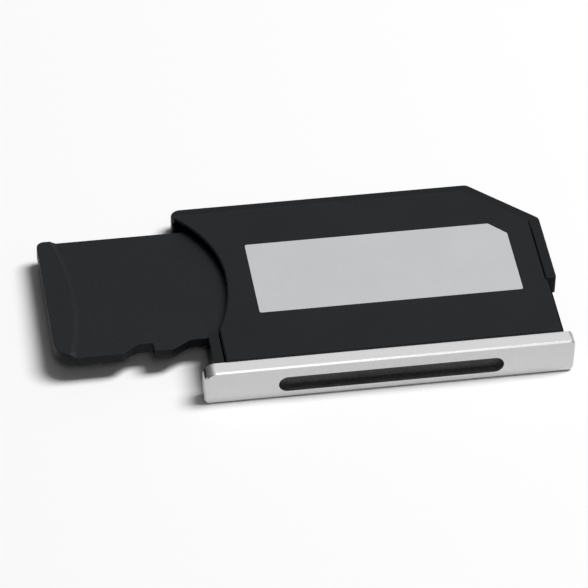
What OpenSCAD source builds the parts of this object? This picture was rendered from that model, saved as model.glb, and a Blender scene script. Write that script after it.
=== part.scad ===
// Memory card adapter with a small card part-way in its side slot.
// Millimetres. X runs along the end cap, Y from the end cap to the contact edge, Z is up.
// The origin is the middle of the body's underside. The modules measure Y from the face
// that the end cap seats on, and in_frame() moves that to the origin.

/* [Body] */
// Width across the outer side edges
body_w = 24; // [23.5:0.1:25]
// Depth from the end cap seat to the contact edge
body_d = 15.45; // [15.2:0.05:17]
// Thickness from the underside to the label face
body_t = 2.1; // [2.05:0.05:2.6]
// Height of the ledge round the raised face
ledge_h = 1.4; // [1.3:0.05:1.5]
// Width of the ledge along the contact edge and the cut corner
ledge_back = 1.26; // [1:0.02:1.5]
// Width of the ledge along the side rail
ledge_rail = 0.86; // [0.8:0.02:1]
// Width of the ledge beside the card mouth
ledge_mouth = 0.12; // [0.05:0.01:0.3]
// Cut corner, measured along the contact edge
cut_x = 4.15; // [3:0.05:5]
// Cut corner, measured along the side rail
cut_y = 3.85; // [3:0.05:5]
// Radius of the contact edge's plain corner
corner_r = 0.67; // [0.3:0.01:1]
// Radius at both ends of the cut corner
cut_r = 0.45; // [0.2:0.05:0.8]
// Distance from the cap seat to the end of the side rail
rail_end = 5.72; // [4:0.02:8]
// Inward step where the side rail ends
rail_step = 0.72; // [0.5:0.02:0.76]
// Distance from the rail's end to where the raised face widens again
rail_gap = 0.8; // [0.5:0.05:1.5]
// Inward step of the notch beside the card mouth
notch_w = 0.71; // [0.5:0.01:0.9]
// Length of that notch from the cap seat
notch_l = 4.1; // [3.6:0.1:5]
// Radius of the raised face's corners at the cut corner
face_r = 0.25; // [0.2:0.01:0.25]
// Radius of the raised face's corner by the card mouth
mouth_r = 0.2; // [0.15:0.01:0.2]
// Bevel on the top edge of the raised face
face_bevel = 0.1; // [0.05:0.01:0.15]
// Bevel on the bottom edge of the shell
base_bevel = 0.1; // [0.05:0.01:0.2]

/* [Shell halves] */
// Radius where the shell's side edges turn inwards
turn_r = 0.15; // [0.05:0.05:0.3]
// Gap between the two halves where they face each other
seam_gap = 0.04; // [0.02:0.01:0.08]
// Wall of the lower shell behind the end cap
front_wall = 0.6; // [0.5:0.05:0.65]
// Width of the guard beside the card mouth
guard_w = 0.65; // [0.5:0.01:0.8]
// Length of that guard from the cap seat
guard_l = 3; // [2.6:0.05:3.1]
// Radius at the free end of that guard
guard_r = 0.4; // [0.2:0.05:0.5]
// Gap between that guard and the raised face
guard_gap = 0.09; // [0.04:0.01:0.12]
// How far the guard's top lies below the label face
guard_drop = 0.12; // [0.05:0.01:0.15]
// Radius of a locating pin on the cover
pin_r = 0.45; // [0.35:0.05:0.5]
// Distance from each side edge to the end pins
pin_in = 2.2; // [2.1:0.05:2.4]
// Place of the middle pin as a share of the width from the card side
pin_mid = 0.56; // [0.54:0.01:0.6]
// Distance from the cap seat to the pin beside the rail
pin_side = 5.6; // [5:0.1:7]
// Length of a locating pin below the cover
pin_l = 0.5; // [0.3:0.05:0.6]
// Running clearance round a locating pin
pin_gap = 0.05; // [0.03:0.01:0.1]
// Thickness of the ribs between the cored cells of the cover
rib_t = 0.6; // [0.5:0.05:0.8]
// Wall between the cored cells and the outside
cell_wall = 0.7; // [0.5:0.05:0.9]
// Distance from the cap seat to the far end of the cored cells
cell_back = 10.6; // [10:0.1:11]
// Skin left above the cored cells
cell_roof = 0.45; // [0.4:0.05:0.6]

/* [Finger cut-out] */
// Depth of the cut-out into the raised face
thumb_depth = 2.58; // [2.2:0.02:2.8]
// Distance from the cap seat to the deepest point
thumb_y = 7.94; // [7.7:0.02:8.2]
// Radius of the stretch towards the contact edge
thumb_r_back = 8.2; // [8:0.1:8.6]
// Radius of the stretch towards the end cap
thumb_r_front = 11.1; // [10.5:0.1:12]

/* [End cap] */
// How far the cap stands out past the edge on the card side
cap_over = 0.05; // [0:0.01:0.5]
// How far the cap stays back from the side rail's edge
cap_inset = 0.14; // [0:0.01:0.3]
// Depth of the cap from its seat to its front face
cap_d = 0.97; // [0.9:0.01:1.2]
// Height of the cap
cap_h = 2.57; // [2.45:0.01:3]
// How far the cap's top lies below the label face
cap_drop = 0.12; // [0.05:0.01:0.2]
// Wall of the cap
cap_wall = 0.3; // [0.25:0.01:0.35]
// Corner radius at the top, on the card side
cap_r_top = 0.8; // [0.5:0.01:0.9]
// Radius of the other three corners
cap_r = 0.34; // [0.2:0.01:0.45]
// Bevel round the front face
cap_bevel = 0.1; // [0.05:0.01:0.15]
// Gap between the cap and the tenon inside it
tenon_gap = 0.03; // [0.02:0.01:0.05]

/* [Cap slot] */
// Length of the slot over its round ends
slot_l = 14.55; // [10:0.05:18]
// Height of the slot
slot_h = 1.21; // [0.8:0.01:1.3]
// Height of the slot's middle above the cap's bottom
slot_z = 1.11; // [1:0.01:1.3]
// Depth of the finger groove in the tenon behind the slot
groove_d = 0.2; // [0.1:0.01:0.25]

/* [Label] */
// Thickness of the label
label_t = 0.06; // [0.04:0.01:0.1]
// Length of the label
label_l = 17.2; // [15:0.05:18]
// Height of the label
label_w = 6.54; // [5:0.02:7]
// Distance from the card side edge to the label
label_x = 4.26; // [4:0.02:4.6]
// Distance from the cap seat to the label
label_y = 4.18; // [3:0.02:5]
// Cut corner of the label
label_cut = 1.08; // [0.5:0.02:2]
// Radius of the label's corners
label_r = 0.15; // [0.1:0.01:0.3]
// Gap round the label in its recess
label_gap = 0.02; // [0.01:0.01:0.05]

/* [Card] */
// Length of the card
card_l = 15; // [14.9:0.05:15.1]
// Width of the card
card_w = 11; // [10.9:0.05:11.1]
// Thickness of the card
card_t = 0.7; // [0.6:0.02:0.74]
// Thickness at the rear lip
lip_t = 0.92; // [0.8:0.02:1.04]
// Depth of the lip at the middle of the rear edge
lip_d = 1.66; // [1.4:0.02:1.7]
// Radius of the lip's front edge
lip_r = 20; // [18:0.5:30]
// Run of the slope in front of the lip
lip_slope = 0.4; // [0.1:0.01:0.42]
// Corner radius at the card's contact end
card_r = 0.8; // [0.6:0.05:0.9]
// Radius of the rear corner on the notched edge
rear_r = 1.4; // [0.6:0.05:1.5]
// Radius of the rear corner on the straight edge
plain_r = 0.5; // [0.4:0.05:0.9]
// Radius where the card's notched edge turns
notch_r = 0.25; // [0.1:0.05:0.3]
// Radius at the corners of the tab beside the notch
tab_r = 0.12; // [0.05:0.01:0.15]
// How far the card's narrow end steps in
step_w = 0.74; // [0.6:0.02:0.8]
// Distance from the contact end to the narrow end's slope
narrow_l = 6.3; // [6:0.05:6.4]
// Run of that slope
step_run = 1.2; // [0.8:0.05:1.25]
// Width of the tab beside the edge notch
tab_l = 1.2; // [1.1:0.05:1.3]
// Length of the edge notch along its floor
notch_floor = 1; // [0.8:0.05:1.1]
// Run of the notch's rear slope
notch_run = 1; // [0.8:0.05:1.2]
// How far the card stands out of the body as it lies
card_out = 9.1; // [7:0.1:12]
// How far the card stands out when it is pushed home
card_home = 0.75; // [0.7:0.05:1]
// Distance from the cap seat to the card's notched edge
card_y = 2.2; // [2.15:0.01:2.25]

/* [Card slot] */
// Gap above and below the card
card_gap = 0.05; // [0.03:0.01:0.06]
// Gap on each side of the card
side_gap = 0.08; // [0.04:0.01:0.1]
// Gap ahead of the card when it is pushed home
end_gap = 0.1; // [0.05:0.01:0.2]
// Gap ahead of the card's step when it is pushed home
key_gap = 0.15; // [0.1:0.05:0.4]

/* [Contacts] */
// Depth of the contact windows in the underside
window_h = 0.5; // [0.45:0.01:0.6]
// Spacing of the contact plates
plate_pitch = 2.5; // [2.4:0.02:2.5]
// Distance from the side rail's edge to the first contact plate
plate_first = 5.63; // [5.6:0.01:5.7]
// Spacing of the eighth contact plate from the seventh
narrow_pitch = 1.7; // [1.65:0.01:1.75]
// How far the ninth plate is set back from the others
plate_back = 2.3; // [2.2:0.05:2.6]
// Width of a contact plate
plate_w = 1.6; // [1.4:0.02:1.7]
// Width of the eighth contact plate
narrow_w = 1.2; // [1:0.02:1.25]
// Length of a contact plate
plate_l = 3.9; // [3.6:0.05:4]
// Thickness of a contact plate
plate_t = 0.06; // [0.04:0.01:0.08]
// Distance from the contact edge to the plates
plate_in = 1.4; // [1.36:0.02:1.5]
// Gap round a plate in its window
plate_gap = 0.06; // [0.04:0.01:0.08]
// Thickness of the circuit board
board_t = 0.11; // [0.08:0.01:0.12]
// Distance from the card side edge to the circuit board
board_side = 0.85; // [0.8:0.05:1]
// Distance from the side rail's edge to the circuit board
board_rail = 2.2; // [2:0.05:2.3]
// Gap round the circuit board
board_gap = 0.05; // [0.03:0.01:0.1]
// Spacing of the card's pads and of the spring contacts
pad_pitch = 1.1; // [1.05:0.01:1.12]
// Width of a pad on the card
pad_w = 0.8; // [0.7:0.02:0.85]
// Length of a pad on the card
pad_l = 2.9; // [2.7:0.05:3]
// Thickness of a pad on the card
pad_t = 0.04; // [0.02:0.01:0.06]
// Distance from the card's contact end to its pads
pad_in = 1.1; // [0.9:0.05:1.2]
// Width of a spring contact
spring_w = 0.5; // [0.4:0.02:0.6]
// Thickness of a spring contact
spring_t = 0.05; // [0.04:0.01:0.06]
// Length of a spring contact
spring_l = 3.2; // [3:0.05:3.3]
// Height of the card above the circuit board
card_lift = 0.09; // [0.08:0.01:0.1]

/* [Hidden] */

// Body edges and levels
left = -body_w / 2;
right = body_w / 2;
face_top = body_t;
wall_y = body_d - ledge_back;
overcut = 0.5;
bond = 0.01;
sliver = 0.2;
bar_past = 0.15;
board_z = window_h + plate_t;
board_top = board_z + board_t;
card_z = board_top + card_lift;
floor_z = card_z - card_gap;
roof_z = card_z + card_t + card_gap;
cover_z = floor_z + seam_gap;

// Cut corner as a line: its direction, and where lines inside it cross the other edges
cut_len = norm([cut_x, cut_y]);
cut_nx = cut_y / cut_len;
cut_ny = cut_x / cut_len;
function cut_start(inset) = right - cut_x - inset * (1 - cut_ny) / cut_nx;
function cut_end(inset, side) = body_d - (inset + cut_nx * (cut_x - side)) / cut_ny;

// Card and its slot
card_rear = left - card_out;
home_end = left + card_l - card_home;
slot_front = card_y - side_gap;
slot_back = card_y + card_w + side_gap;
slot_end = home_end + end_gap;
mouth_end = left + body_w / 4;
key_x = home_end - narrow_l + key_gap;
card_mid = card_y + card_w / 2;
lip_h = lip_t - card_t;

// Cover edge beside the guard
cover_left = left + notch_w + guard_w + guard_gap;
jog_y = rail_end - rail_gap;
jog = ledge_rail - rail_step;

// Pins of the cover
pin_y = (front_wall + seam_gap + slot_front) / 2;
pin_places = [
    [left + pin_in, pin_y],
    [left + body_w * pin_mid, pin_y],
    [right - pin_in, pin_y],
    [right - pin_in, pin_side]
];
pin_bevel = 0.08;

// Cored cells of the cover
cell_x = slot_end + cell_wall;
cell_end = right - pin_in - pin_r - cell_wall;
cell_y = slot_front + rib_t;
cell_top = face_top - label_t - cell_roof;
cell_cols = 2;
cell_rows = 3;
cell_w = (cell_end - cell_x - (cell_cols - 1) * rib_t) / cell_cols;
cell_l = (cell_back - cell_y - (cell_rows - 1) * rib_t) / cell_rows;

// Contact plates: place along X, width, front end along Y
plate_y = body_d - plate_in - plate_l;
plates = concat(
    [for (i = [0:6]) [right - plate_first - i * plate_pitch, plate_w, plate_y]],
    [[right - plate_first - 6 * plate_pitch - narrow_pitch, narrow_w, plate_y]],
    [[right - plate_first + plate_pitch, plate_w, plate_y - plate_back]]
);

// Spring contacts: the path of a strip as fractions of its length with heights
spring_x = home_end - pad_in - pad_l / 2 - spring_l * 0.8;
spring_relief = 0.1;
relief_from = 0.25;
spring_low = board_z + 0.03;
spring_crest = card_z - 0.02 - spring_t;
spring_dip = 0.05;
spring_path = [
    [0, board_top],
    [0.28, board_top],
    [0.38, spring_low],
    [0.5, spring_low],
    [0.76, spring_crest],
    [0.85, spring_crest],
    [1, spring_crest - spring_dip]
];
spring_last = len(spring_path) - 1;
function pad_at(i) = card_mid + (i - 4.5) * pad_pitch;

// Board edges, with its rims beyond the plates and the springs
plate_rim = 0.1;
ninth_rim = 0.5;
finger_rim = 0.3;
board_left = left + board_side;
board_right = right - board_rail;
board_front = plate_y - plate_rim;
ninth_left = board_right - plate_w - ninth_rim;
finger_front = pad_at(1) - pad_w / 2 - finger_rim;
finger_left = spring_x - finger_rim;
finger_right = slot_end - 2 * end_gap;
board_inset = ledge_back + board_gap;

// End cap levels
cap_l = body_w + cap_over - cap_inset;
cap_mid = -(cap_over + cap_inset) / 2;
cap_top = face_top - cap_drop;
cap_z = cap_top - cap_h;
inner_top_r = cap_r_top - cap_wall;
inner_r = max(cap_r - cap_wall, 0.02);

$fn = 48;
thumb_fn = 144;
lip_fn = 180;

function unit(v) = v / norm(v);

module in_frame() {
    translate([0, -body_d / 2, 0]) children();
}

// Sliver outside one rounded corner of a plan
module corner_sliver(before, at, after, r) {
    u = unit(before - at);
    w = unit(after - at);
    half = acos(u * w) / 2;
    reach = r / tan(half);
    difference() {
        polygon([at - unit(u + w) * sliver, at + u * reach, at + w * reach]);
        translate(at + unit(u + w) * r / sin(half)) circle(r);
    }
}

// The slivers of every corner whose radius has the given sign
module corner_slivers(points, radii, sign) {
    last = len(points) - 1;
    for (i = [0:last])
        if (radii[i] * sign > 0)
            corner_sliver(
                points[i == 0 ? last : i - 1],
                points[i],
                points[i == last ? 0 : i + 1],
                radii[i] * sign
            );
}

// Plan with a radius at each corner: 0 for a sharp one, below 0 for an inside one
module rounded_plan(points, radii) {
    difference() {
        union() {
            polygon(points);
            corner_slivers(points, radii, -1);
        }
        corner_slivers(points, radii, 1);
    }
}

// Bar that takes the edge off from one plan point to another at one height
module edge_bar(from, to, z, size, past = bar_past) {
    run = to - from;
    side = size * sqrt(2);
    translate([from[0], from[1], z])
        rotate([0, 0, atan2(run[1], run[0])])
        rotate([45, 0, 0])
        translate([-past, -side / 2, -side / 2])
        cube([norm(run) + 2 * past, side, side]);
}

module box(from, to) {
    translate(from) cube(to - from);
}

// Outline of the lower shell
shell_points = [
    [left + notch_w, 0],
    [left + notch_w, notch_l],
    [left, notch_l + notch_w],
    [left, body_d],
    [right - cut_x, body_d],
    [right, body_d - cut_y],
    [right, rail_end],
    [right - rail_step, rail_end],
    [right - rail_step, 0]
];

module shell_plan() {
    rounded_plan(shell_points, [0, 0, turn_r, corner_r, cut_r, cut_r, turn_r, 0, 0]);
}

// Room for the cover between the ledges, open on the card side
module cover_room() {
    g = seam_gap;
    polygon([
        [left - overcut, front_wall],
        [left - overcut, wall_y + g],
        [cut_start(ledge_back - g), wall_y + g],
        [right - ledge_rail + g, cut_end(ledge_back - g, ledge_rail - g)],
        [right - ledge_rail + g, rail_end],
        [right + overcut, rail_end],
        [right + overcut, front_wall]
    ]);
}

module guard_plan() {
    x = left + notch_w;
    rounded_plan(
        [[x, 0], [x, guard_l], [x + guard_w, guard_l], [x + guard_w, 0]],
        [0, guard_r, 0, 0]
    );
}

// Tenon of the lower shell inside the end cap
module tenon() {
    g = cap_wall + tenon_gap;
    x = cap_l / 2 - g;
    reach = cap_d - g;
    translate([cap_mid, 0, 0])
        rotate([90, 0, 0])
        linear_extrude(height = reach)
        rounded_plan(
            [[-x, cap_z + g], [x, cap_z + g], [x, cap_top - g], [-x, cap_top - g]],
            [0, 0, 0, inner_top_r - tenon_gap]
        );
}

// Finger groove behind the slot of the cap
module tenon_groove() {
    reach = cap_d - cap_wall - tenon_gap;
    run = slot_l - slot_h;
    translate([0, -reach + groove_d, cap_z + slot_z])
        rotate([90, 0, 0])
        linear_extrude(height = groove_d + overcut)
        slot_plan(run, slot_h / 2);
}

module slot_plan(run, r) {
    translate([-run / 2, -r]) square([run, 2 * r]);
    for (side = [-1, 1])
        translate([side * run / 2, 0]) circle(r);
}

// Board outline, larger by grow on every side
module board_plan(grow) {
    inset = board_inset - grow;
    x = board_right + grow;
    polygon([
        [board_left - grow, board_front - grow],
        [board_left - grow, wall_y - board_gap + grow],
        [cut_start(inset), body_d - inset],
        [x, cut_end(inset, right - x)],
        [x, board_front - plate_back - grow],
        [ninth_left - grow, board_front - plate_back - grow],
        [ninth_left - grow, board_front - grow]
    ]);
    translate([finger_left - grow, finger_front - grow])
        square([finger_right - finger_left + 2 * grow, board_front - finger_front + overcut]);
}

module pin_holes() {
    for (p = pin_places)
        translate([p[0], p[1], floor_z - pin_l - pin_gap])
            cylinder(r = pin_r + pin_gap, h = pin_l + pin_gap + overcut);
}

// Windows that are open at the contact edge, one for each plate
module contact_windows() {
    for (p = plates) {
        half = p[1] / 2 + plate_gap;
        box([p[0] - half, p[2] - plate_gap, -overcut], [p[0] + half, body_d + overcut, window_h]);
        box(
            [p[0] - half, p[2] - plate_gap, window_h - overcut],
            [p[0] + half, p[2] + plate_l + plate_gap, board_z + bond]
        );
    }
}

module shell_bevels() {
    last = len(shell_points) - 1;
    for (i = [1:last - 1])
        edge_bar(shell_points[i], shell_points[i + 1], 0, base_bevel);
}

module lower_shell() {
    color("DimGray") in_frame() {
        difference() {
            union() {
                linear_extrude(height = ledge_h) shell_plan();
                linear_extrude(height = face_top - guard_drop) guard_plan();
            }
            difference() {
                translate([0, 0, floor_z]) linear_extrude(height = face_top) cover_room();
                linear_extrude(height = face_top + overcut) guard_plan();
            }
            box([left - overcut, slot_front, floor_z], [mouth_end, slot_back, roof_z]);
            translate([0, 0, board_z]) linear_extrude(height = board_t + overcut) board_plan(board_gap);
            pin_holes();
            contact_windows();
            shell_bevels();
        }
        difference() {
            tenon();
            tenon_groove();
        }
    }
}

// Half of the finger cut-out on one side of its deepest point, widened at the top edge
module thumb_half(r, side) {
    depth = body_w;
    intersection() {
        union() {
            translate([left + thumb_depth - r, thumb_y, 0])
                cylinder(r = r, h = face_top + overcut, $fn = thumb_fn);
            translate([left + thumb_depth - r, thumb_y, face_top - face_bevel])
                cylinder(r1 = r, r2 = r + 2 * face_bevel, h = 2 * face_bevel, $fn = thumb_fn);
        }
        translate([-depth, side > 0 ? thumb_y : thumb_y - body_d, 0])
            cube([depth * 2, body_d, face_top + overcut]);
    }
}

cover_points = [
    [cover_left, 0],
    [cover_left, thumb_y],
    [left + ledge_mouth, thumb_y],
    [left + ledge_mouth, wall_y],
    [cut_start(ledge_back), wall_y],
    [right - ledge_rail, cut_end(ledge_back, ledge_rail)],
    [right - ledge_rail, jog_y],
    [right - rail_step, jog_y - jog],
    [right - rail_step, 0]
];

jog_at = 6;

module cover_plan() {
    rounded_plan(cover_points, [0, 0, 0, mouth_r, face_r, face_r, 0, 0, 0]);
}

module cover_bevels() {
    last = len(cover_points) - 1;
    edge_bar([cover_left, 0], [cover_left, guard_l], face_top, face_bevel, guard_r);
    for (i = [3:last - 1]) {
        past = i == jog_at - 1 || i == jog_at ? 0 : bar_past;
        edge_bar(cover_points[i], cover_points[i + 1], face_top, face_bevel, past);
    }
    edge_bar(cover_points[0], cover_points[last], face_top, face_bevel);
}

// Space in the cover for the card, with the key that matches the card's step
module cover_slot() {
    difference() {
        box([left - overcut, slot_front, 0], [slot_end, slot_back, roof_z]);
        box([key_x, slot_front - overcut, 0], [slot_end + overcut, slot_front + step_w, roof_z + overcut]);
    }
}

module cover_cells() {
    for (c = [0:cell_cols - 1], r = [0:cell_rows - 1])
        translate([cell_x + c * (cell_w + rib_t), cell_y + r * (cell_l + rib_t), 0])
            cube([cell_w, cell_l, cell_top]);
}

// Label outline, larger by grow on every side
module label_plan(grow) {
    x = left + label_x - grow;
    y = label_y - grow;
    l = label_l + 2 * grow;
    w = label_w + 2 * grow;
    c = label_cut + grow * (2 - sqrt(2));
    rounded_plan(
        [[x, y], [x, y + w], [x + l - c, y + w], [x + l, y + w - c], [x + l, y]],
        [label_r, label_r, label_r, label_r, label_r]
    );
}

module cover_pins() {
    for (p = pin_places)
        translate([p[0], p[1], cover_z - pin_l]) {
            translate([0, 0, pin_bevel]) cylinder(r = pin_r, h = pin_l - pin_bevel + rib_t);
            cylinder(r1 = pin_r - pin_bevel, r2 = pin_r, h = pin_bevel);
        }
}

module upper_cover() {
    color("Gray") in_frame() {
        difference() {
            translate([0, 0, cover_z]) linear_extrude(height = face_top - cover_z) cover_plan();
            box([left, -overcut, 0], [right, front_wall + seam_gap, ledge_h + seam_gap]);
            thumb_half(thumb_r_back, 1);
            thumb_half(thumb_r_front, -1);
            cover_slot();
            cover_cells();
            translate([0, 0, face_top - label_t]) linear_extrude(height = overcut) label_plan(label_gap);
            cover_bevels();
        }
        cover_pins();
    }
}

// Section of the end cap, smaller by inset on every side
module cap_section(inset, top_r, r) {
    x = cap_l / 2 - inset;
    rounded_plan(
        [[-x, cap_z + inset], [x, cap_z + inset], [x, cap_top - inset], [-x, cap_top - inset]],
        [r, r, r, top_r]
    );
}

// Front layer of the end cap with its bevelled rim
module cap_front() {
    corners = [
        [-1, cap_z, 1, cap_r],
        [1, cap_z, 1, cap_r],
        [1, cap_top, -1, cap_r],
        [-1, cap_top, -1, cap_r_top]
    ];
    hull()
        for (c = corners)
            translate([c[0] * (cap_l / 2 - c[3]), -cap_d + cap_bevel, c[1] + c[2] * c[3]])
                rotate([90, 0, 0])
                cylinder(r1 = c[3], r2 = c[3] - cap_bevel, h = cap_bevel);
}

module end_cap() {
    color("Silver") in_frame() {
        difference() {
            translate([cap_mid, 0, 0]) {
                rotate([90, 0, 0])
                    linear_extrude(height = cap_d - cap_bevel)
                    cap_section(0, cap_r_top, cap_r);
                cap_front();
            }
            translate([cap_mid, overcut, 0])
                rotate([90, 0, 0])
                linear_extrude(height = cap_d - cap_wall + overcut)
                cap_section(cap_wall, inner_top_r, inner_r);
            translate([0, 0, cap_z + slot_z])
                rotate([90, 0, 0])
                linear_extrude(height = cap_d + overcut)
                slot_plan(slot_l - slot_h, slot_h / 2);
        }
    }
}

module label() {
    color("LightGray") in_frame()
        translate([0, 0, face_top - label_t])
        linear_extrude(height = label_t)
        label_plan(0);
}

module circuit_board() {
    half = spring_w / 2 + spring_relief;
    color("DarkGreen") in_frame()
        difference() {
            translate([0, 0, board_z]) linear_extrude(height = board_t) board_plan(0);
            for (i = [1:8])
                box(
                    [spring_x + spring_l * relief_from, pad_at(i) - half, 0],
                    [spring_x + spring_l + spring_relief, pad_at(i) + half, face_top]
                );
        }
}

module sd_contact(i) {
    p = plates[i - 1];
    color("Gold") in_frame()
        translate([p[0] - p[1] / 2, p[2], window_h])
        cube([p[1], plate_l, plate_t]);
}

module spring_contact(i) {
    under = [for (p = spring_path) [p[0] * spring_l, p[1]]];
    over = [for (k = [0:spring_last]) under[spring_last - k] + [0, spring_t]];
    color("Gold") in_frame()
        translate([spring_x, pad_at(i) + spring_w / 2, 0])
        rotate([90, 0, 0])
        linear_extrude(height = spring_w)
        polygon(concat(under, over));
}

// Card outline from its rear edge, notched edge towards the end cap
card_tab = card_l - narrow_l - step_run;
card_notch = card_tab - tab_l;
card_points = [
    [0, 0],
    [card_notch - notch_floor - notch_run, 0],
    [card_notch - notch_floor, step_w],
    [card_notch, step_w],
    [card_notch, 0],
    [card_tab, 0],
    [card_tab + step_run, step_w],
    [card_l, step_w],
    [card_l, card_w],
    [0, card_w]
];

module card_plan() {
    translate([card_rear, card_y])
        rounded_plan(
            card_points,
            [rear_r, notch_r, -notch_r, -tab_r, tab_r, notch_r, -notch_r, card_r, card_r, plain_r]
        );
}

// Raised lip of the card with its curved, sloping front
module card_lip() {
    intersection() {
        linear_extrude(height = face_top + overcut) card_plan();
        translate([card_rear + lip_d - lip_r, card_mid, card_z + card_t - bond])
            cylinder(r1 = lip_r + lip_slope, r2 = lip_r, h = lip_h + bond, $fn = lip_fn);
    }
}

module card_pad_box(i) {
    x = card_rear + card_l - pad_in - pad_l;
    box([x, pad_at(i) - pad_w / 2, card_z], [x + pad_l, pad_at(i) + pad_w / 2, card_z + pad_t]);
}

module card_body() {
    color("Black") in_frame() {
        difference() {
            translate([0, 0, card_z]) linear_extrude(height = card_t) card_plan();
            for (i = [1:8])
                card_pad_box(i);
        }
        card_lip();
    }
}

module card_pad(i) {
    color("Gold") in_frame() card_pad_box(i);
}

lower_shell();
upper_cover();
end_cap();
label();
circuit_board();
sd_contact(1);  // sd_contact_1
sd_contact(2);  // sd_contact_2
sd_contact(3);  // sd_contact_3
sd_contact(4);  // sd_contact_4
sd_contact(5);  // sd_contact_5
sd_contact(6);  // sd_contact_6
sd_contact(7);  // sd_contact_7
sd_contact(8);  // sd_contact_8
sd_contact(9);  // sd_contact_9
spring_contact(1);  // spring_contact_1
spring_contact(2);  // spring_contact_2
spring_contact(3);  // spring_contact_3
spring_contact(4);  // spring_contact_4
spring_contact(5);  // spring_contact_5
spring_contact(6);  // spring_contact_6
spring_contact(7);  // spring_contact_7
spring_contact(8);  // spring_contact_8
card_body();
card_pad(1);  // card_pad_1
card_pad(2);  // card_pad_2
card_pad(3);  // card_pad_3
card_pad(4);  // card_pad_4
card_pad(5);  // card_pad_5
card_pad(6);  // card_pad_6
card_pad(7);  // card_pad_7
card_pad(8);  // card_pad_8
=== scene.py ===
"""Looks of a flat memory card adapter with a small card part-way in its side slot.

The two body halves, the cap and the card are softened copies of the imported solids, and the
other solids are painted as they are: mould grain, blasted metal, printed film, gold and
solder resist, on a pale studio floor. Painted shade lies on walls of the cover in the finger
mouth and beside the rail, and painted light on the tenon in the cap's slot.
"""

import math

import bmesh
import bpy
from bpy.props import (
    FloatProperty,
    FloatVectorProperty,
    IntProperty,
    PointerProperty,
)
from mathutils import Matrix, Vector


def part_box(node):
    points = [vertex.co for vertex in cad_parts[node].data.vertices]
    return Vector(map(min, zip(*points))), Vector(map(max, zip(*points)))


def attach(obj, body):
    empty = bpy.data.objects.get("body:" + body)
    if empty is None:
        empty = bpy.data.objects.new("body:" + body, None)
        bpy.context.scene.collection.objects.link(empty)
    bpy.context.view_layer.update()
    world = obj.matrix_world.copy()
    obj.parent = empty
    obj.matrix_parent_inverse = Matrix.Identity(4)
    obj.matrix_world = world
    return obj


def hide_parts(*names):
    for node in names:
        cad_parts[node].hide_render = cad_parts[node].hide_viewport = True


bl_info = {
    "name": "Card adapter looks",
    "version": (1, 0, 0),
    "blender": (4, 5, 0),
    "location": "View3D > Sidebar > Card adapter",
    "description": "Finishes, softened edges and studio for a card adapter",
    "category": "Object",
}

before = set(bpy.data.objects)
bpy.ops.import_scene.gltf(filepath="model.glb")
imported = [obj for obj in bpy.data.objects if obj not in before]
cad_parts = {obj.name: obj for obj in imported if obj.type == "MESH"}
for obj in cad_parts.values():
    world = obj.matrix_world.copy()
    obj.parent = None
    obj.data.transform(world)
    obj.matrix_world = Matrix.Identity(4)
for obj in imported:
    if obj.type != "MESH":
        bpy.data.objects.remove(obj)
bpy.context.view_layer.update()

MM = 0.001
ADAPTER = "adapter"
CARD = "card"

FACE_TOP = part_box("upper_cover")[1].z
MIDDLE = Vector((0.0, 0.0, FACE_TOP / 2))
CAP_LOW, CAP_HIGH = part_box("end_cap")
SEAT_Y = CAP_HIGH.y
SHELL_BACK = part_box("lower_shell")[1].y
LABEL_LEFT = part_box("label")[0].x

# Corners nearer than WELD are joined, and faces that turn by less than FLAT are made one
WELD = 0.0004 * MM
FLAT = math.radians(0.6)

# Outer edges that turn by more than this are softened
SHARP = math.radians(28.0)

# How much a large face counts in the shading of the soft edges round it
FACE_WEIGHT = 80

# Faces of the shell in front of this belong to the tenon, which gets a painted light grey
TENON_BACK = SEAT_Y - 0.05 * MM

# A face is a wall when its normal's share along x is over this, or along z is under it. The cover's
# right-facing walls and its walls in the finger mouth get painted shade.
SIDEWAYS = 0.3

# The corners of the ledge's inner wall seen from above, and the reach within which a
# corner of the mesh is one of them, in millimetres. Those above LEDGE_MIDDLE move by the
# whole width of the seam, and those below it by the share SEAM_TAPER.
LEDGE_CORNERS = (Vector((11.18, -2.005)), Vector((11.18, 2.972)), Vector((7.371, 6.505)))
CORNER_REACH = 0.01
LEDGE_MIDDLE = 1.0 * MM
SEAM_TAPER = 0.4


# Sizes and colours


def width_setting(name, description, default):
    return FloatProperty(
        name=name,
        description=description,
        default=default,
        min=0.0,
        unit="LENGTH",
        precision=6,
    )


def colour_setting(name, description, default):
    return FloatVectorProperty(
        name=name,
        description=description,
        subtype="COLOR",
        size=3,
        default=default,
        min=0.0,
        max=1.0,
    )


def angle_setting(name, description, degrees):
    return FloatProperty(
        name=name,
        description=description,
        subtype="ANGLE",
        default=math.radians(degrees),
    )


def power_setting(name, description, default):
    return FloatProperty(name=name, description=description, default=default, min=0.0)


def share_setting(name, description, default):
    return FloatProperty(name=name, description=description, default=default, min=0.0, max=1.0)


class AdapterEdges(bpy.types.PropertyGroup):
    """Widths of the soft edges and of the seam beside the rail"""

    shell: width_setting(
        "Shell edge",
        "Width of the soft edge on the lower shell",
        0.06 * MM,
    )
    cover: width_setting(
        "Cover edge",
        "Width of the soft edge on the upper cover",
        0.05 * MM,
    )
    seam: width_setting(
        "Seam beside the rail",
        "How much wider the seam between raised face and rail is made",
        0.17 * MM,
    )
    cap: width_setting(
        "Cap edge",
        "Width of the soft edge on the end cap",
        0.025 * MM,
    )
    card: width_setting(
        "Card edge",
        "Width of the soft edge on the card",
        0.10 * MM,
    )
    segments: IntProperty(
        name="Segments",
        description="Steps across each soft edge",
        default=3,
        min=1,
        max=6,
    )


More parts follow.
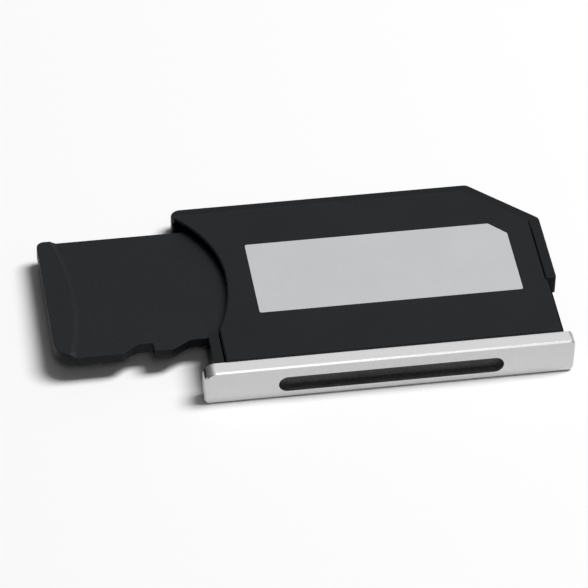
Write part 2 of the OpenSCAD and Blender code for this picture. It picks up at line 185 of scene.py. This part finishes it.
class AdapterColours(bpy.types.PropertyGroup):
    """Colours of the finishes, with a painted shade and a painted light among them"""

    shell: colour_setting(
        "Shell plastic",
        "Black of the lower body half",
        (0.0038, 0.0046, 0.0056),
    )
    cover: colour_setting(
        "Cover plastic",
        "Black of the upper body half",
        (0.0060, 0.0070, 0.0082),
    )
    # Painted shade: near-black without sheen on the cover's walls in the finger mouth and on its
    # right-facing walls beside the rail, where their shadow falls
    painted_shade: colour_setting(
        "Painted shade plastic",
        "Painted shade on the walls in the mouth and beside the rail",
        (0.0030, 0.0036, 0.0044),
    )
    card: colour_setting(
        "Card plastic",
        "Black of the small card",
        (0.0072, 0.0082, 0.0094),
    )
    # Painted light: the tenon is the shell's black plastic, made this grey with little sheen to
    # stand in for the light inside the cap's slot
    tenon: colour_setting(
        "Tenon painted light",
        "Painted light on the tenon behind the slot of the cap",
        (0.100, 0.102, 0.104),
    )
    cap: colour_setting(
        "Cap metal",
        "Reflection colour of the blasted metal cap",
        (0.55, 0.55, 0.55),
    )
    label: colour_setting(
        "Label",
        "Grey of the bare label",
        (0.490, 0.494, 0.502),
    )
    gold: colour_setting(
        "Contact gold",
        "Reflection colour of the gold plating",
        (0.93, 0.66, 0.29),
    )
    board: colour_setting(
        "Board green",
        "Solder resist of the circuit board",
        (0.012, 0.075, 0.035),
    )


class AdapterStage(bpy.types.PropertyGroup):
    """Camera, floor, studio and lamps"""

    azimuth: angle_setting(
        "Camera azimuth",
        "Turn of the camera round the part, from straight ahead of the cap",
        -10.41,
    )
    elevation: angle_setting(
        "Camera elevation",
        "Height of the camera above the horizon",
        42.46,
    )
    roll: angle_setting(
        "Camera roll",
        "Turn of the picture about the line of sight",
        1.92,
    )
    distance: FloatProperty(
        name="Camera distance",
        description="From the camera to the aim point",
        default=292.26 * MM,
        min=0.01,
        unit="LENGTH",
    )
    lens: FloatProperty(
        name="Lens",
        description="Focal length on a 36 mm wide picture",
        default=275.5,
        min=10.0,
    )
    floor: colour_setting(
        "Floor",
        "Colour of the floor as it lights the part",
        (0.80, 0.80, 0.80),
    )
    floor_seen: colour_setting(
        "Floor seen",
        "Colour of the floor to the camera and in reflections",
        (0.915, 0.915, 0.915),
    )
    sky: power_setting(
        "Studio fill",
        "Strength of the studio as it lights matt surfaces",
        0.17,
    )
    mirrored: power_setting(
        "Mirrored studio",
        "Strength of the white studio in reflections",
        1.25,
    )
    horizon: share_setting(
        "Horizon",
        "Share of the studio light that is left at the horizon",
        0.15,
    )
    dim_side: share_setting(
        "Dim side",
        "Share of the studio light that is left on the side away from the key lamp",
        0.3,
    )
    key: power_setting(
        "Key lamp",
        "Power of the soft lamp overhead on the right",
        10.7,
    )
    front: power_setting(
        "Front lamp",
        "Power of the weak lamp over the camera",
        0.45,
    )


# Finishes


class Finish:
    """One material being wired up, with its shader and object coordinates."""

    def __init__(self, name):
        self.material = bpy.data.materials.new(name)
        self.material.use_nodes = True
        self.nodes = self.material.node_tree.nodes
        self.links = self.material.node_tree.links
        self.shader = self.nodes["Principled BSDF"]
        self.place = self.nodes.new("ShaderNodeTexCoord").outputs["Object"]

    def set(self, **values):
        """Sets inputs of the shader, with underscores for the spaces in their names."""
        for key, value in values.items():
            self.shader.inputs[key.replace("_", " ")].default_value = value

    def join(self, source, target):
        self.links.new(source, target)

    def noise(self, size, detail, roughness=0.5):
        """Cloudy noise whose blobs are about size metres across."""
        node = self.nodes.new("ShaderNodeTexNoise")
        node.inputs["Scale"].default_value = 1.0 / size
        node.inputs["Detail"].default_value = detail
        node.inputs["Roughness"].default_value = roughness
        self.join(self.place, node.inputs["Vector"])
        return node.outputs["Fac"]

    def cells(self, size, smoothness):
        """Rounded cells about size metres across, like spark-eroded mould grain."""
        node = self.nodes.new("ShaderNodeTexVoronoi")
        node.feature = "SMOOTH_F1"
        node.inputs["Scale"].default_value = 1.0 / size
        node.inputs["Smoothness"].default_value = smoothness
        self.join(self.place, node.inputs["Vector"])
        return node.outputs["Distance"]

    def spread(self, source, low, high, start=0.3, end=0.7):
        """source from start..end mapped to low..high."""
        node = self.nodes.new("ShaderNodeMapRange")
        node.inputs["From Min"].default_value = start
        node.inputs["From Max"].default_value = end
        node.inputs["To Min"].default_value = low
        node.inputs["To Max"].default_value = high
        self.join(source, node.inputs["Value"])
        return node.outputs["Result"]

    def add(self, first, second):
        node = self.nodes.new("ShaderNodeMath")
        node.operation = "ADD"
        self.join(first, node.inputs[0])
        self.join(second, node.inputs[1])
        return node.outputs[0]

    def tint(self, colour, source, low, high):
        """colour times low where source is 0, and times high where it is 1."""
        node = self.nodes.new("ShaderNodeMix")
        node.data_type = "RGBA"
        node.inputs["A"].default_value = (*[c * low for c in colour], 1.0)
        node.inputs["B"].default_value = (*[c * high for c in colour], 1.0)
        self.join(source, node.inputs["Factor"])
        self.join(node.outputs["Result"], self.shader.inputs["Base Color"])

    def roughen(self, source, low, high):
        """Roughness from low to high, as source says."""
        self.join(self.spread(source, low, high), self.shader.inputs["Roughness"])

    def bump(self, source, depth):
        """Relief of the given depth in metres."""
        node = self.nodes.new("ShaderNodeBump")
        node.inputs["Strength"].default_value = 1.0
        node.inputs["Distance"].default_value = depth
        self.join(source, node.inputs["Height"])
        self.join(node.outputs["Normal"], self.shader.inputs["Normal"])


def moulded_plastic(name, colour, grain=0.10 * MM, level=0.13):
    """Matt black plastic with the fine grain of an etched mould."""
    finish = Finish(name)
    finish.set(IOR=1.45, Specular_IOR_Level=level)
    pebbles = finish.cells(grain, smoothness=0.6)
    dust = finish.noise(grain, detail=3.0)
    haze = finish.noise(3.0 * MM, detail=2.0)
    fine = finish.spread(dust, low=0.0, high=0.7)
    broad = finish.spread(haze, low=0.0, high=0.3)
    finish.tint(colour, finish.add(fine, broad), low=0.6, high=1.4)
    finish.roughen(dust, low=0.40, high=0.50)
    finish.bump(finish.add(pebbles, dust), depth=0.0045 * MM)
    return finish.material


def blasted_metal(name, colour):
    """Aluminium blasted with fine beads and anodised clear."""
    finish = Finish(name)
    finish.set(Metallic=1.0)
    beads = finish.noise(0.09 * MM, detail=3.0, roughness=0.6)
    cloud = finish.noise(5.0 * MM, detail=2.0)
    finish.tint(colour, finish.spread(beads, low=0.0, high=1.0), low=0.95, high=1.05)
    finish.roughen(cloud, low=0.22, high=0.28)
    finish.bump(beads, depth=0.006 * MM)
    return finish.material


def printed_film(name, colour):
    """Matt silver-grey film with a fine tooth."""
    finish = Finish(name)
    finish.set(IOR=1.48, Specular_IOR_Level=0.3)
    tooth = finish.noise(0.12 * MM, detail=3.0)
    cloud = finish.noise(3.5 * MM, detail=2.0)
    both = finish.add(tooth, cloud)
    shades = finish.spread(both, low=0.0, high=1.0, start=0.7, end=1.3)
    finish.tint(colour, shades, low=0.97, high=1.03)
    finish.roughen(tooth, low=0.50, high=0.62)
    finish.bump(tooth, depth=0.003 * MM)
    return finish.material


def plated_gold(name, colour):
    """Gold plating over rolled strip, cloudy where it is worn."""
    finish = Finish(name)
    finish.set(Metallic=1.0)
    grain = finish.noise(0.05 * MM, detail=2.0)
    cloud = finish.noise(0.9 * MM, detail=3.0)
    finish.tint(colour, finish.spread(cloud, low=0.0, high=1.0), low=0.93, high=1.05)
    finish.roughen(cloud, low=0.22, high=0.34)
    finish.bump(grain, depth=0.0015 * MM)
    return finish.material


def solder_resist(name, colour):
    """Green resist with a fine grain, a little paler where copper lies under it."""
    finish = Finish(name)
    finish.set(IOR=1.5, Specular_IOR_Level=0.45)
    weave = finish.noise(0.15 * MM, detail=1.0)
    copper = finish.noise(1.6 * MM, detail=0.0)
    areas = finish.spread(copper, low=0.0, high=1.0, start=0.47, end=0.53)
    finish.tint(colour, areas, low=0.75, high=1.5)
    finish.roughen(weave, low=0.28, high=0.40)
    finish.bump(weave, depth=0.003 * MM)
    return finish.material


# Pieces


def whole_solid(node):
    """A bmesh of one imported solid, with its triangles joined and its flat faces whole."""
    form = bmesh.new()
    form.from_mesh(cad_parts[node].data)
    bmesh.ops.remove_doubles(form, verts=form.verts, dist=WELD)
    bmesh.ops.dissolve_limit(
        form,
        angle_limit=FLAT,
        verts=form.verts,
        edges=form.edges,
    )
    return form


def sharp_edges(form):
    """Outer edges where the two faces turn by more than SHARP."""
    return [
        edge
        for edge in form.edges
        if len(edge.link_faces) == 2
        and edge.is_convex
        and edge.calc_face_angle(0.0) > SHARP
    ]


def widen_seam(form, width):
    """Moves the ledge's inner wall away from the raised face, by the rail and the cut corner."""
    for vert in form.verts:
        place = vert.co.xy / MM
        if any((place - corner).length < CORNER_REACH for corner in LEDGE_CORNERS):
            on_top = vert.co.z > LEDGE_MIDDLE
            vert.co.x += width if on_top else width * SEAM_TAPER


def soften(form, width, segments):
    """Rounds the sharp edges of a form, width metres to each side of them."""
    edges = sharp_edges(form)
    if not edges or width <= 0.0:
        return
    bmesh.ops.bevel(
        form,
        geom=edges,
        offset=width,
        offset_type="OFFSET",
        segments=segments,
        profile=0.5,
        affect="EDGES",
        clamp_overlap=True,
        material=-1,
    )


def finished(form, name, node, body, material):
    """Turns a bmesh into the piece that stands for a node."""
    mesh = bpy.data.meshes.new(name)
    form.to_mesh(mesh)
    form.free()
    mesh.polygons.foreach_set("use_smooth", [True] * len(mesh.polygons))
    mesh.materials.append(material)
    piece = bpy.data.objects.new(name, mesh)
    bpy.context.scene.collection.objects.link(piece)
    normals = piece.modifiers.new("Edge shading", "WEIGHTED_NORMAL")
    normals.weight = FACE_WEIGHT
    normals.keep_sharp = True
    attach(piece, body)
    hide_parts(node)
    return piece


def paint(node, material):
    """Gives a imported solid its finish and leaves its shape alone."""
    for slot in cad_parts[node].material_slots:
        slot.material = material


def paint_all(start, material):
    """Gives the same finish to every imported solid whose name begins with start."""
    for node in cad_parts:
        if node.startswith(start):
            paint(node, material)


class AdapterOperator(bpy.types.Operator):
    """Options that the adapter's operators share"""

    bl_options = {"REGISTER", "UNDO"}


class ADAPTER_OT_shell(AdapterOperator):
    """Lower half of the body, with its ledges, windows and tenon"""

    bl_idname = "adapter.shell"
    bl_label = "Lower shell"

    def execute(self, context):
        edges = context.scene.adapter_edges
        colours = context.scene.adapter_colours
        form = whole_solid("lower_shell")
        widen_seam(form, edges.seam)
        soften(form, edges.shell, edges.segments)
        material = moulded_plastic("shell plastic", colours.shell)
        shell = finished(form, "shell_half", "lower_shell", ADAPTER, material)
        # Painted light: faces in front of TENON_BACK get the lighter grey in place of the light
        # inside the cap's slot
        shell.data.materials.append(moulded_plastic("tenon painted light", colours.tenon, level=0.05))
        for face in shell.data.polygons:
            face.material_index = int(face.center.y < TENON_BACK)
        return {"FINISHED"}


class ADAPTER_OT_cover(AdapterOperator):
    """Upper half of the body, with the finger cut-out and the label recess"""

    bl_idname = "adapter.cover"
    bl_label = "Upper cover"

    def execute(self, context):
        edges = context.scene.adapter_edges
        colours = context.scene.adapter_colours
        form = whole_solid("upper_cover")
        soften(form, edges.cover, edges.segments)
        material = moulded_plastic("cover plastic", colours.cover)
        cover = finished(form, "cover_half", "upper_cover", ADAPTER, material)
        cover.data.materials.append(moulded_plastic("crevice plastic", colours.painted_shade, level=0.0))
        # Painted shade: right-facing walls of the cover and its walls in the finger mouth get the
        # near-black plastic without sheen
        for face in cover.data.polygons:
            shaded_mouth_wall = face.center.x < LABEL_LEFT and face.normal.z < SIDEWAYS
            face.material_index = int(face.normal.x > SIDEWAYS or shaded_mouth_wall)
        return {"FINISHED"}


class ADAPTER_OT_cap(AdapterOperator):
    """Metal cap with its long slot"""

    bl_idname = "adapter.cap"
    bl_label = "End cap"

    def execute(self, context):
        edges = context.scene.adapter_edges
        form = whole_solid("end_cap")
        soften(form, edges.cap, edges.segments)
        material = blasted_metal("cap metal", context.scene.adapter_colours.cap)
        finished(form, "metal_cap", "end_cap", ADAPTER, material)
        return {"FINISHED"}


class ADAPTER_OT_label(AdapterOperator):
    """Bare label"""

    bl_idname = "adapter.label"
    bl_label = "Label"

    def execute(self, context):
        paint("label", printed_film("label film", context.scene.adapter_colours.label))
        return {"FINISHED"}


class ADAPTER_OT_card(AdapterOperator):
    """Small card with its lip, notch and pads"""

    bl_idname = "adapter.card"
    bl_label = "Card"

    def execute(self, context):
        edges = context.scene.adapter_edges
        colours = context.scene.adapter_colours
        form = whole_solid("card_body")
        soften(form, edges.card, edges.segments)
        material = moulded_plastic("card plastic", colours.card, grain=0.13 * MM)
        finished(form, "small_card", "card_body", CARD, material)
        paint_all("card_pad_", plated_gold("pad gold", colours.gold))
        return {"FINISHED"}


class ADAPTER_OT_contacts(AdapterOperator):
    """Circuit board, plates in the windows and spring strips"""

    bl_idname = "adapter.contacts"
    bl_label = "Board and contacts"

    def execute(self, context):
        colours = context.scene.adapter_colours
        paint("circuit_board", solder_resist("board resist", colours.board))
        paint_all("sd_contact_", plated_gold("plate gold", colours.gold))
        paint_all("spring_contact_", plated_gold("spring gold", colours.gold))
        return {"FINISHED"}


# Stage


def pale_floor(colour, seen):
    """Matt floor, with one colour as it lights the part and another where it is looked at."""
    material = bpy.data.materials.new("pale floor")
    material.use_nodes = True
    nodes = material.node_tree.nodes
    links = material.node_tree.links
    nodes.remove(nodes["Principled BSDF"])
    paths = nodes.new("ShaderNodeLightPath").outputs
    looks = nodes.new("ShaderNodeMath")
    looks.operation = "MAXIMUM"
    links.new(paths["Is Camera Ray"], looks.inputs[0])
    links.new(paths["Is Glossy Ray"], looks.inputs[1])
    blend = nodes.new("ShaderNodeMixShader")
    links.new(looks.outputs[0], blend.inputs["Fac"])
    for place, shade in ((1, colour), (2, seen)):
        matt = nodes.new("ShaderNodeBsdfDiffuse")
        matt.inputs["Color"].default_value = (*shade, 1.0)
        links.new(matt.outputs["BSDF"], blend.inputs[place])
    links.new(blend.outputs["Shader"], nodes["Material Output"].inputs["Surface"])
    return material


class ADAPTER_OT_stage(AdapterOperator):
    """Floor, soft lamps, camera and colour settings"""

    bl_idname = "adapter.stage"
    bl_label = "Stage"

    # The aim point stands SHIFT pixels right of and above the middle of the picture.
    # FOCAL is the lens in the same pixels, and SENSOR the picture's width in millimetres.
    AIM = Vector((-2.0, 0.375, 1.0)) * MM
    SHIFT = (43.6, 17.42)
    FOCAL = 4500.0
    SENSOR = 36.0
    CLIP_START = 0.01
    CLIP_END = 5.0

    # How far the floor reaches each way from its middle, and how far it lies under the cap
    FLOOR_REACH = 0.6
    SLACK = 0.02 * MM

    # Each lamp's size is given front to back and side to side
    KEY_PLACE = (0.45, 0.04, 0.88)
    KEY_SIZE = (0.34, 0.62)
    FRONT_PLACE = (0.0, -0.67, 0.74)
    FRONT_SIZE = (0.30, 0.30)

    # Directions in the studio: how high the sky is full, and where the dim side shades over
    FULL_SKY = 0.7
    DIM_SIDE = (-0.40, -0.05)

    def lay_floor(self, settings):
        """The part leans on its cap, so the floor rises from there to the far edge."""
        rise = math.atan2(-CAP_LOW.z, SHELL_BACK - SEAT_Y)
        form = bmesh.new()
        bmesh.ops.create_grid(form, x_segments=1, y_segments=1, size=self.FLOOR_REACH)
        bmesh.ops.rotate(
            form,
            verts=form.verts,
            cent=(0.0, 0.0, 0.0),
            matrix=Matrix.Rotation(rise, 3, "X"),
        )
        under_cap = (0.0, SEAT_Y, CAP_LOW.z - self.SLACK)
        bmesh.ops.translate(form, verts=form.verts, vec=under_cap)
        mesh = bpy.data.meshes.new("Floor")
        form.to_mesh(mesh)
        form.free()
        mesh.materials.append(pale_floor(settings.floor, settings.floor_seen))
        floor = bpy.data.objects.new("Floor", mesh)
        bpy.context.scene.collection.objects.link(floor)

    def hang_lamp(self, name, place, size, power):
        """Elliptical soft lamp that points at the middle of the part."""
        lamp = bpy.data.lights.new(name, "AREA")
        lamp.shape = "ELLIPSE"
        lamp.size, lamp.size_y = size
        lamp.energy = power
        holder = bpy.data.objects.new(name, lamp)
        holder.location = place
        aim = MIDDLE - Vector(place)
        holder.rotation_euler = aim.to_track_quat("-Z", "Y").to_euler()
        bpy.context.scene.collection.objects.link(holder)

    def set_camera(self, settings):
        """Camera at the photo's angle, moved aside so that the part stands as in the photo."""
        azimuth = settings.azimuth
        elevation = settings.elevation
        back = Vector(
            (
                math.sin(azimuth) * math.cos(elevation),
                -math.cos(azimuth) * math.cos(elevation),
                math.sin(elevation),
            )
        )
        level = Vector((math.cos(azimuth), math.sin(azimuth), 0.0))
        rise = back.cross(level)
        right = math.cos(settings.roll) * level + math.sin(settings.roll) * rise
        up = -math.sin(settings.roll) * level + math.cos(settings.roll) * rise
        reach = settings.distance
        place = (
            self.AIM
            + back * reach
            - right * (self.SHIFT[0] * reach / self.FOCAL)
            - up * (self.SHIFT[1] * reach / self.FOCAL)
        )
        data = bpy.data.cameras.new("Camera")
        data.lens = settings.lens
        data.sensor_width = self.SENSOR
        data.clip_start = self.CLIP_START
        data.clip_end = self.CLIP_END
        camera = bpy.data.objects.new("Camera", data)
        turn = camera.matrix_world.to_3x3()
        turn.col[0] = right
        turn.col[1] = up
        turn.col[2] = back
        camera.matrix_world = turn.to_4x4()
        camera.location = place
        bpy.context.scene.collection.objects.link(camera)
        bpy.context.scene.camera = camera

    def light_world(self, settings):
        """White studio that fades to the horizon and to the dim side, and is plain to the camera."""
        world = bpy.data.worlds.new("Studio")
        world.use_nodes = True
        nodes = world.node_tree.nodes
        links = world.node_tree.links
        background = nodes["Background"]
        background.inputs["Color"].default_value = (1.0, 1.0, 1.0, 1.0)
        paths = nodes.new("ShaderNodeLightPath").outputs
        direction = nodes.new("ShaderNodeTexCoord").outputs["Generated"]
        parts = nodes.new("ShaderNodeSeparateXYZ")
        links.new(direction, parts.inputs["Vector"])

        def ranged(source, low, high, start=0.0, end=1.0):
            node = nodes.new("ShaderNodeMapRange")
            node.inputs["From Min"].default_value = start
            node.inputs["From Max"].default_value = end
            for key, value in (("To Min", low), ("To Max", high)):
                if isinstance(value, float):
                    node.inputs[key].default_value = value
                else:
                    links.new(value, node.inputs[key])
            links.new(source, node.inputs["Value"])
            return node.outputs["Result"]

        def product(first, second):
            node = nodes.new("ShaderNodeMath")
            node.operation = "MULTIPLY"
            links.new(first, node.inputs[0])
            links.new(second, node.inputs[1])
            return node.outputs[0]

        start, end = self.DIM_SIDE
        overhead = ranged(parts.outputs["Z"], settings.horizon, 1.0, end=self.FULL_SKY)
        lit_side = ranged(parts.outputs["X"], settings.dim_side, 1.0, start=start, end=end)
        level = ranged(paths["Is Glossy Ray"], settings.sky, settings.mirrored)
        studio = product(product(overhead, level), lit_side)
        seen = ranged(paths["Is Camera Ray"], studio, 1.0)
        clear = ranged(paths["Is Transmission Ray"], seen, 1.0)
        links.new(clear, background.inputs["Strength"])
        bpy.context.scene.world = world

    def execute(self, context):
        settings = context.scene.adapter_stage
        self.lay_floor(settings)
        self.light_world(settings)
        self.hang_lamp("Key lamp", self.KEY_PLACE, self.KEY_SIZE, settings.key)
        self.hang_lamp("Front lamp", self.FRONT_PLACE, self.FRONT_SIZE, settings.front)
        self.set_camera(settings)
        context.scene.view_settings.view_transform = "Standard"
        return {"FINISHED"}


class ADAPTER_PT_panel(bpy.types.Panel):
    """Lists the adapter's operators and settings"""

    bl_label = "Card adapter"
    bl_idname = "ADAPTER_PT_panel"
    bl_space_type = "VIEW_3D"
    bl_region_type = "UI"
    bl_category = "Card adapter"

    def draw(self, context):
        layout = self.layout
        for operator in OPERATORS:
            layout.operator(operator.bl_idname)
        for group in GROUPS:
            settings = getattr(context.scene, group)
            column = layout.box().column()
            for name in settings.__annotations__:
                column.prop(settings, name)


GROUPS = {
    "adapter_edges": AdapterEdges,
    "adapter_colours": AdapterColours,
    "adapter_stage": AdapterStage,
}
OPERATORS = (
    ADAPTER_OT_shell,
    ADAPTER_OT_cover,
    ADAPTER_OT_cap,
    ADAPTER_OT_label,
    ADAPTER_OT_card,
    ADAPTER_OT_contacts,
    ADAPTER_OT_stage,
)


def register():
    for name, group in GROUPS.items():
        bpy.utils.register_class(group)
        setattr(bpy.types.Scene, name, PointerProperty(type=group))
    for operator in OPERATORS:
        bpy.utils.register_class(operator)
    bpy.utils.register_class(ADAPTER_PT_panel)


def unregister():
    bpy.utils.unregister_class(ADAPTER_PT_panel)
    for operator in reversed(OPERATORS):
        bpy.utils.unregister_class(operator)
    for name, group in reversed(GROUPS.items()):
        delattr(bpy.types.Scene, name)
        bpy.utils.unregister_class(group)


def main():
    register()
    bpy.ops.adapter.shell()
    bpy.ops.adapter.cover()
    bpy.ops.adapter.cap()
    bpy.ops.adapter.label()
    bpy.ops.adapter.card()
    bpy.ops.adapter.contacts()
    bpy.ops.adapter.stage()


if __name__ == "__main__":
    main()
